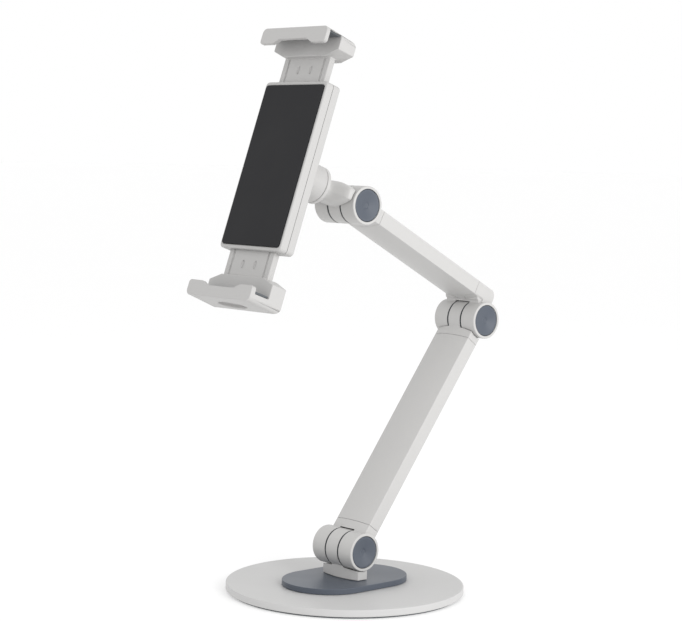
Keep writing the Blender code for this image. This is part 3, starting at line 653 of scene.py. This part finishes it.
def make_lower_arm():
    place, low, high = PLACES["lower"], *LOWER_SEAMS
    make_tube("lower_arm_tube", LOWER_SEAMS, place)
    fork = prism("lower_arm_fork_rounded", arm_section(), 0, low, place, "Z", 0, SEAM_ROUND)
    make_fork("lower_arm_fork", fork, place, [spigot("fork_spigot", 14, low + SPIGOT_LENGTH, place)])
    length = (joint_place("elbow_hinge") - joint_place("lower_hinge")).length / MM
    tongue = prism("lower_arm_tongue_rounded", arm_section(), high, length, place, "Z", SEAM_ROUND)
    end = spigot("tongue_spigot", high - SPIGOT_LENGTH, high + 2, place)
    make_tongue("lower_arm_tongue", tongue, PLACES["lower_top"], [end])


def elbow_fillet(place):
    """The fillet between the upper arm's underside and the elbow's barrel."""
    radius, half_width = 1.8, 15.4
    under = UPPER_ARM_OFFSET - ARM_EDGE - ARM_CROWN + 0.25  # just inside the crown of the underside
    # The arc, in (y, z), touches the underside and the barrel. The other points lie inside the fitting.
    centre = (under - radius, math.sqrt((BARREL_RADIUS + radius) ** 2 - (under - radius) ** 2))
    last = math.degrees(math.atan2(-centre[1], -centre[0]))
    outline = [(4.0, 7.0), (under + 2.9, 5.0), (under + 2.9, centre[1] + 2.4)]
    outline += arc(centre, radius, 0, last, 10)
    return prism("elbow_fillet", outline, -half_width, half_width, place, "X")


def elbow_cutters(place, end):
    """What the elbow fork's block loses: its nose is rounded, and its underside follows the arm's."""
    lift, low = UPPER_ARM_OFFSET, UPPER_SEAMS[0]
    nose = [(5, end - 5), (40, end - 5), (40, end + 9)]
    nose += arc((lift + ARM_EDGE - 5.4, end + 6), 6.0, 25, -90, 16)
    wide, side, edge, web_end = ARM_HALF_WIDTH + 5, ARM_HALF_WIDTH - 0.3, lift - ARM_EDGE, 7.6
    below = [(-wide, edge + 0.5), (-side, edge + 0.5)]
    below += [(x, y) for x, y in arm_section(0, lift) if y < edge]
    below += [(side, edge + 0.5), (wide, edge + 0.5), (wide, 0.0), (-wide, 0.0)]
    return (
        prism("elbow_nose", nose, -THROUGH, THROUGH, place, "X"),
        prism("elbow_under_arm", below, web_end, low + 5, place),
    )


def make_upper_arm():
    place, low, high = PLACES["upper"], *UPPER_SEAMS
    lift = UPPER_ARM_OFFSET
    make_tube("upper_arm_tube", UPPER_SEAMS, place, lift)
    end, foot = -1.8, 4.0
    crown = [(x, y) for x, y in arm_section(0, lift) if y > lift]
    section = rounded(crown + [(-ARM_HALF_WIDTH, foot), (ARM_HALF_WIDTH, foot)], 0.5, least_turn=60)
    elbow = prism("upper_arm_elbow_fork_rounded", section, end, low, place, "Z", 0.3)
    cut(elbow, *elbow_cutters(place, end))
    join(elbow, elbow_fillet(place))
    lower_end = spigot("elbow_spigot", 13, low + SPIGOT_LENGTH, place, lift)
    make_fork("upper_arm_elbow_fork", elbow, place, [lower_end])
    section, length = arm_section(0, lift), UPPER_ARM_LENGTH - 3
    head = prism("upper_arm_head_fork_rounded", section, high, length, place, "Z", SEAM_ROUND)
    upper_end = spigot("head_spigot", high - SPIGOT_LENGTH, high + 3, place, lift)
    make_fork("upper_arm_head_fork", head, PLACES["head"], [upper_end])


# ---------------------------------------------------------------- head


def make_neck():
    """The head hinge's tongue, a shoulder that narrows to a round stem, and the swivel's flange."""
    place, centre = PLACES["head"], (0, HEAD_DROP)
    section = bar_section(KNUCKLE_HALF_WIDTH, edge=3.2, crown=4.8, corner=0.8, steps=40)
    wide = resampled(section, ROUND)
    stem, flange = resampled(circle(STEM_RADIUS), ROUND), resampled(circle(BOSS_RADIUS), ROUND)
    backwards = place.to_3x3().col[1].normalized()
    swivel = (joint_place("clamp_rotation") - joint_place("head_tilt")).dot(backwards) / MM
    end = swivel + BOSS_END + GAP
    shoulder, taper, taper_steps = -15.0, 9.5, 12
    stations = [(wide, 0.0), (wide, shoulder)]
    for i in range(1, taper_steps + 1):
        t = i / taper_steps
        stations.append((blended(wide, stem, t * t * (3 - 2 * t)), shoulder - taper * t))
    waist, flare, flare_steps = -25.5, 3.8, 8
    for i in range(1, flare_steps + 1):
        t = i / flare_steps
        stations.append((blended(stem, flange, 1 - math.sqrt(max(1 - t * t, 0))), waist - flare * t))
    for shrink, y in ((0, end + 0.4), (0.12, end + 0.12), (0.4, end)):
        stations.append((inset(flange, shrink), y))
    loops = [[(x, y, z + HEAD_DROP) for x, z in outline] for outline, y in stations]
    neck = loft("swivel_neck_rounded", loops, place)
    peg = rod("neck_spigot", PEG_RADIUS, end - 5, end + 3, place, "Y", centre)
    make_tongue("swivel_neck", neck, place, [peg])


def swivel_boss_profile():
    """The boss behind the housing: a foot that flares from it, and a rounded rim."""
    foot, flare, length, steps = 11.5, 5.5, 12, 10
    profile = [(0, foot), (BOSS_RADIUS + flare, foot)]
    for i in range(steps + 1):
        share = (1 - math.sin(math.pi / 2 * i / steps)) ** 1.5
        profile.append((BOSS_RADIUS + flare * share, HOUSING_BACK + length * i / steps))
    for radius_less, height_less in ((0, 0.4), (0.12, 0.12), (0.4, 0)):
        profile.append((BOSS_RADIUS - radius_less, BOSS_END - height_less))
    return profile + [(0, BOSS_END)]


def open_shells(front, back):
    """Hollows the two shells for the sliders, and opens both ends where these come out."""
    place, seam, high = PLACES["clamp"], HOUSING_SEAM, HOUSING_HALF_HEIGHT
    wide, past = RAIL_HALF_WIDTH + GAP, high + 5
    cut(front, slab("front_room", (-wide, RAIL_FRONT - GAP, -past), (wide, seam + 2, past), place))
    cut(back, slab("back_slot", (-wide, seam - 2, -past), (wide, RAIL_BACK + GAP, past), place))
    cut(back, slab("back_room", (-wide, seam - 2, 2 - high), (wide, HOUSING_BACK - 2, high - 2), place))


def make_housing():
    """Both shells with what they hold: the pad's seat, the pinion's pin, the boss, springs and screws."""
    place = PLACES["clamp"]
    outline = rounded_box(HOUSING_HALF_WIDTH, HOUSING_HALF_HEIGHT, HOUSING_CORNER)
    front_end, back_start = HOUSING_SEAM - GAP / 2, HOUSING_SEAM + GAP / 2
    front = prism("front_shell_rounded", outline, HOUSING_FRONT, front_end, place, "Y", 0.9, 0.2)
    back = prism("back_shell_rounded", outline, back_start, HOUSING_BACK, place, "Y", 0.2, 1.2)
    open_shells(front, back)
    seat = rounded_box(REST_PAD_HALF_WIDTH + GAP, REST_PAD_HALF_HEIGHT + GAP, REST_PAD_CORNER + GAP)
    cut(front, prism("pad_seat", seat, HOUSING_FRONT - 2, HOUSING_FRONT + 0.8, place, "Y"))
    boss_start, boss_end = RAIL_FRONT - GAP - 1, RAIL_FRONT + RAIL_SKIN
    join(front, rod("pin_boss", PIN_BOSS_RADIUS, boss_start, boss_end, place, "Y", sides=SMALL_ROUND))
    cut(front, rod("pin_hole", PIN_HOLE_RADIUS, 2.1, 20, place, "Y", sides=SMALL_ROUND))
    join(back, turned("swivel_boss", swivel_boss_profile(), place, "Y"))
    # Room for the bolt's head and its spring, then the shank's hole, then the seat of the neck's peg
    bore = [(0, 5), (8.0, 5), (8.0, 24), (3.3, 24), (3.3, 31.5), (5.8, 31.5), (5.8, 45), (0, 45)]
    cut(back, turned("swivel_boss_bore", bore, place, "Y"))
    for side in (1, -1):
        anchor = (-side * SPRING_X, side * (SPRING_LOW - 2))
        post = rod("spring_anchor", POST_RADIUS, RAIL_BACK - 1.4, 12, place, "Y", anchor, POST_SIDES)
        join(back, post)
    hole = [(0, 4.0), (1.5, 4.0), (1.5, 10.4), (2.9, 10.4), (2.9, 15), (0, 15)]
    for x in (-SHELL_SCREW_X, SHELL_SCREW_X):
        for z in (-SHELL_SCREW_Z, SHELL_SCREW_Z):
            for shell in (front, back):
                cut(shell, turned("shell_screw_hole", hole, place, "Y", (x, z), SMALL_ROUND))
    show(soften_edges(front, 0.2, 2), "front_shell")
    show(soften_edges(back, 0.25, 2), "back_shell")
    pad_outline = rounded_box(REST_PAD_HALF_WIDTH, REST_PAD_HALF_HEIGHT, REST_PAD_CORNER)
    pad = prism("rest_pad_rounded", pad_outline, 0.0, HOUSING_FRONT + 0.5, place, "Y", 0.5, 0.1)
    show(even_shading(pad), "rest_pad")


def make_shell_screws():
    """Pan head screws with a cross recess, sunk in the back shell."""
    place = PLACES["clamp"]
    shank = [(0, 4.3), (1.2, 4.3), (1.2, 10.7)]
    head = [(2.6, 10.7), (2.6, 11.5), (2.3, 11.95), (1.5, 12.2), (0, 12.25)]
    for height, z in (("top", SHELL_SCREW_Z), ("bottom", -SHELL_SCREW_Z)):
        for side, x in (("left", -SHELL_SCREW_X), ("right", SHELL_SCREW_X)):
            node = f"shell_screw_{height}_{side}"
            screw = turned(node + "_cross", shank + head, place, "Y", (x, z), 48)
            for wide, tall in ((1.5, 0.22), (0.22, 1.5)):
                cut(screw, slab("cross", (x - wide, 11.2, z - tall), (x + wide, 13, z + tall), place))
            show(soften_edges(screw, 0.05, 2), node)


def rack_outline():
    """A straight rack of trapezoid teeth along z, on the left of the pinion."""
    pitch, low, high = math.pi, RACK_LOW, RAIL_INNER_END
    tip, root = PITCH_RADIUS - 0.85, PITCH_RADIUS + 1.2
    points = [(RACK_X, low), (RACK_X, high), (root, high)]
    centre = math.floor(high / pitch) * pitch - pitch
    while centre > low + pitch:
        points += [(root, centre + 1.15), (tip, centre + 0.4), (tip, centre - 0.4), (root, centre - 1.15)]
        centre -= pitch
    points.append((root, low))
    return [(-x, z) for x, z in points]


def jaw_outline(jaw, outer):
    """A jaw seen from the front: sloped shoulders above the rail, and its outer corners rounded."""
    x, foot = jaw.half_width - JAW_CORNER, 21
    slope = [(-foot, JAW_BOTTOM), (foot, JAW_BOTTOM), (jaw.half_width, JAW_SHOULDER)]
    outline = rounded(slope, 1.5, closed=False)
    outline += arc((x, outer - JAW_CORNER), JAW_CORNER, 0, 90, 12)
    outline += arc((-x, outer - JAW_CORNER), JAW_CORNER, 90, 180, 12)
    return outline + [(-jaw.half_width, JAW_SHOULDER)]


def lip_foot_outline(jaw):
    """What is cut away below the lip: two feet with round outer corners and a notch between them."""
    wide, low = 50, 60
    step = [(FOOT_X + 3, jaw.foot), (FOOT_X, jaw.foot), (NOTCH_X, jaw.notch), (NOTCH_X - 3, jaw.notch)]
    corner = (jaw.half_width - FOOT_CORNER + CLEAR, jaw.foot + FOOT_CORNER)
    right = [(wide, low), (wide, jaw.foot + FOOT_CORNER)]
    right += arc(corner, FOOT_CORNER, 0, -90, 8) + rounded(step, 1.6, 5, closed=False)
    return right + [(-x, z) for x, z in reversed(right)]


def back_corner_outline(jaw):
    """What is cut away, in (y, z), to round the outer face's back edge."""
    slope = (jaw.outer_back - jaw.outer_front) / (jaw.back - jaw.lip_front)
    y = jaw.back - jaw.corner + CLEAR
    z = jaw.outer_back - jaw.corner * (slope + math.hypot(1, slope)) + CLEAR
    round_edge = arc((y, z), jaw.corner, 90 + math.degrees(math.atan(slope)), 0, 16)
    clear = jaw.outer_back + 5
    return [(jaw.back + 5, z), (jaw.back + 5, clear), (round_edge[0][0], clear)] + round_edge


def turned_over(points, side):
    """The points of a jaw, turned half round for the lower one."""
    return [(side * x, side * z) for x, z in points]


def jaw_block(node, side, low, high):
    corners = [(low[0], low[2]), (high[0], low[2]), (high[0], high[2]), (low[0], high[2])]
    return prism(node, turned_over(corners, side), low[1], high[1], PLACES["clamp"], "Y")


def jaw_body(node, jaw):
    """The jaw without its rail: a tapered block with the channel for the tablet's edge."""
    place, side = PLACES["clamp"], jaw.side
    ends = ((jaw.lip_front, jaw.outer_front), (jaw.back, jaw.outer_back))
    stations = [(turned_over(jaw_outline(jaw, outer), side), y) for y, outer in ends]
    body = loft(node + "_rounded", lifted(stations, "Y"), place)
    wide, inner_end, outer_end = 50, 60, JAW_FACE + jaw.lining + GAP
    low, high = (-wide, jaw.lip_back, inner_end), (wide, jaw.channel_back, outer_end)
    channel = jaw_block(node + "_channel", side, low, high)
    foot = turned_over(lip_foot_outline(jaw), side)
    below = prism(node + "_below_lip", foot, jaw.lip_front - 5, 0, place, "Y")
    corner = [(y, side * z) for y, z in back_corner_outline(jaw)]
    return cut(body, channel, below, prism(node + "_back_corner", corner, -wide, wide, place, "X"))


def rail_parts(node, side):
    """The rail's skin, its two flanges, the rack on its leg and the post of the spring."""
    place, skin, inner, outer = PLACES["clamp"], RAIL_FRONT + RAIL_SKIN, RAIL_INNER_END, JAW_BOTTOM + 4
    wide, sunk = RAIL_HALF_WIDTH, skin - 0.5
    boxes = {
        "rail": ((-wide, RAIL_FRONT, inner), (wide, skin, outer)),
        "left_flange": ((-wide, sunk, inner), (FLANGE - wide, RAIL_BACK, outer)),
        "right_flange": ((wide - FLANGE, sunk, inner), (wide, RAIL_BACK, outer)),
        "leg": ((-RACK_X, sunk, inner - 0.01), (-RACK_LEG_X, RAIL_BACK, outer)),
    }
    parts = [jaw_block(f"{node}_{part}", side, low, high) for part, (low, high) in boxes.items()]
    rack = turned_over(rack_outline(), side)
    parts.append(prism(node + "_rack", rack, skin + GAP, RAIL_BACK, place, "Y"))
    post = (-side * SPRING_X, side * (SPRING_HIGH + 2))
    parts.append(rod(node + "_post", POST_RADIUS, sunk, RAIL_BACK + 0.8, place, "Y", post, POST_SIDES))
    return parts


def make_jaw(node, jaw):
    """A grooved rail with its rack, and the jaw that hooks over the tablet's edge."""
    place, side = PLACES["clamp"], jaw.side
    body = join(jaw_body(node, jaw), *rail_parts(node, side))
    for x in (-GROOVE_X, GROOVE_X):
        low = (x - GROOVE_HALF_WIDTH, RAIL_FRONT - 1, RAIL_INNER_END - 5)
        high = (x + GROOVE_HALF_WIDTH, RAIL_FRONT + GROOVE_DEPTH, JAW_BOTTOM - 0.5)
        cut(body, jaw_block(node + "_groove", side, low, high))
    for x in (-MARK_X, MARK_X):
        mark = turned_over(ellipse((x, MARK_Z), half_x=1.1, half_y=2.6, sides=48), side)
        cut(body, prism(node + "_mark", mark, RAIL_FRONT - 1, RAIL_FRONT + MARK_DEPTH, place, "Y"))
    if side < 0:
        outer = (jaw.outer_front + jaw.outer_back) / 2
        oval = ellipse((0, 1.0), half_x=13.5, half_y=5.0, sides=72)
        cut(body, prism(node + "_finger_recess", oval, -outer - 5, 2.2 - outer, place, "Z"))
    show(soften_edges(body, 0.5, 3), node)
    make_lining(node + "_lining", jaw)


def make_lining(node, jaw):
    """The rubber strip on the floor of the jaw's channel."""
    wide, low, high = jaw.half_width - 1.2, JAW_FACE, JAW_FACE + jaw.lining
    strip = turned_over([(-wide, low), (wide, low), (wide, high), (-wide, high)], jaw.side)
    front, back, curve = jaw.lip_back + GAP, jaw.channel_back - GAP, 0.45 * jaw.lining
    outline = rounded(strip, 0.3, 3)
    lining = prism(node + "_rounded", outline, front, back, PLACES["clamp"], "Y", curve, curve)
    show(even_shading(lining), node)


def make_spring(node, side):
    """A long extension spring coiled between the housing's post and the slider's, baked in place in the row frame.
    """
    place = PLACES["clamp"]
    steps = SPRING_TURNS * SPRING_POINTS_PER_TURN
    path = []
    for i in range(steps + 1):
        turn = 2 * math.pi * i / SPRING_POINTS_PER_TURN
        height = SPRING_LOW + (SPRING_HIGH - SPRING_LOW) * i / steps
        x = SPRING_RADIUS * math.cos(turn) - SPRING_X
        y = SPRING_RADIUS * math.sin(turn) + SPRING_Y
        path.append(place @ Vector((side * x, y, side * height)))
    curve = bpy.data.curves.new(node, "CURVE")
    curve.dimensions = "3D"
    curve.bevel_depth = SPRING_WIRE * MM
    curve.bevel_resolution = 2
    curve.use_fill_caps = True
    spline = curve.splines.new("POLY")
    spline.points.add(len(path) - 1)
    for point, position in zip(spline.points, path):
        point.co = (*position, 1)
    helper = bpy.data.objects.new(node + "_path", curve)
    bpy.context.scene.collection.objects.link(helper)
    graph = bpy.context.evaluated_depsgraph_get()
    mesh = bpy.data.meshes.new_from_object(helper.evaluated_get(graph), depsgraph=graph)
    bpy.data.objects.remove(helper)
    spring = bpy.data.objects.new(node + "_coil", mesh)
    bpy.context.scene.collection.objects.link(spring)
    mesh.shade_smooth()
    slider = "upper_jaw" if side > 0 else "lower_jaw"
    show(spring, node, ("clamp", slider, path[0], path[-1]))


# ---------------------------------------------------------------- studio


def make_floor():
    """A wide, pale floor that glows slightly, so that it fades into the white background."""
    mesh = bpy.data.meshes.new("floor")
    build = bmesh.new()
    bmesh.ops.create_grid(build, x_segments=1, y_segments=1, size=30.0)
    build.to_mesh(mesh)
    build.free()
    floor = bpy.data.objects.new("floor", mesh)
    bpy.context.scene.collection.objects.link(floor)
    made, tree, shader = node_tree("studio_floor")
    grey = tinted(tree, (0.60, 0.60, 0.60), noise(tree, scale=3.0), darkest=0.995)
    link(tree, grey, shader.inputs["Base Color"])
    shader.inputs["Roughness"].default_value = 0.9
    shader.inputs["Specular IOR Level"].default_value = 0.1
    shader.inputs["Emission Color"].default_value = (1.0, 1.0, 1.0, 1.0)
    shader.inputs["Emission Strength"].default_value = 0.38
    mesh.materials.append(made)


def make_light(name, place, target, size, power):
    """A rectangular softbox that faces the target."""
    data = bpy.data.lights.new(name, "AREA")
    data.shape = "RECTANGLE"
    data.size, data.size_y = size
    data.energy = power
    light = bpy.data.objects.new(name, data)
    bpy.context.scene.collection.objects.link(light)
    light.location = place
    light.rotation_euler = (Vector(target) - Vector(place)).to_track_quat("-Z", "Y").to_euler()


def make_studio():
    make_floor()
    world = bpy.data.worlds.new("studio")
    bpy.context.scene.world = world
    world.use_nodes = True
    background = world.node_tree.nodes["Background"]
    background.inputs["Color"].default_value = (1.0, 1.0, 1.0, 1)
    background.inputs["Strength"].default_value = 1.0
    make_light("key_softbox", (1.6, -0.25, 0.7), target=(0, 0, 0.2), size=(0.6, 0.6), power=9.5)
    make_light("side_softbox", (1.45, 0.8, 0.33), target=(0, 0, 0.15), size=(0.5, 0.5), power=4.0)
    bpy.context.scene.view_settings.view_transform = "Standard"


def make_camera():
    """A long lens at the height of the clamp, from the front and the right, looking slightly down."""
    place = (0.92347, -0.83505, 0.28977)
    yaw, pitch, roll = (math.radians(angle) for angle in (48.17, -4.72, 1.24))
    data = bpy.data.cameras.new("photo_view")
    data.sensor_width = 36.0
    data.lens = 100.3
    camera = bpy.data.objects.new("photo_view", data)
    bpy.context.scene.collection.objects.link(camera)
    level = Matrix.Rotation(yaw, 4, "Z") @ Matrix.Rotation(math.pi / 2 + pitch, 4, "X")
    camera.matrix_world = Matrix.Translation(place) @ (level @ Matrix.Rotation(roll, 4, "Z"))
    bpy.context.scene.camera = camera


def finish_hidden_nodes():
    """The CAD pieces that stay as they are, all inside the stand, get their slot's procedural finish."""
    for name, node in frame["nodes"].items():
        if not node.hide_render:
            node.data.materials.clear()
            node.data.materials.append(finish(SLOT_OF[name]))
            node.data.shade_smooth()
            node.data.set_sharp_from_angle(angle=math.radians(SHARP_ANGLE))


make_disc()
make_turntable()
make_lower_arm()
make_upper_arm()
make_hinge_caps()
make_neck()
make_housing()
make_shell_screws()
make_jaw("upper_jaw", UPPER_JAW)
make_jaw("lower_jaw", LOWER_JAW)
make_spring("upper_jaw_spring", 1)
make_spring("lower_jaw_spring", -1)
finish_hidden_nodes()
make_studio()
make_camera()
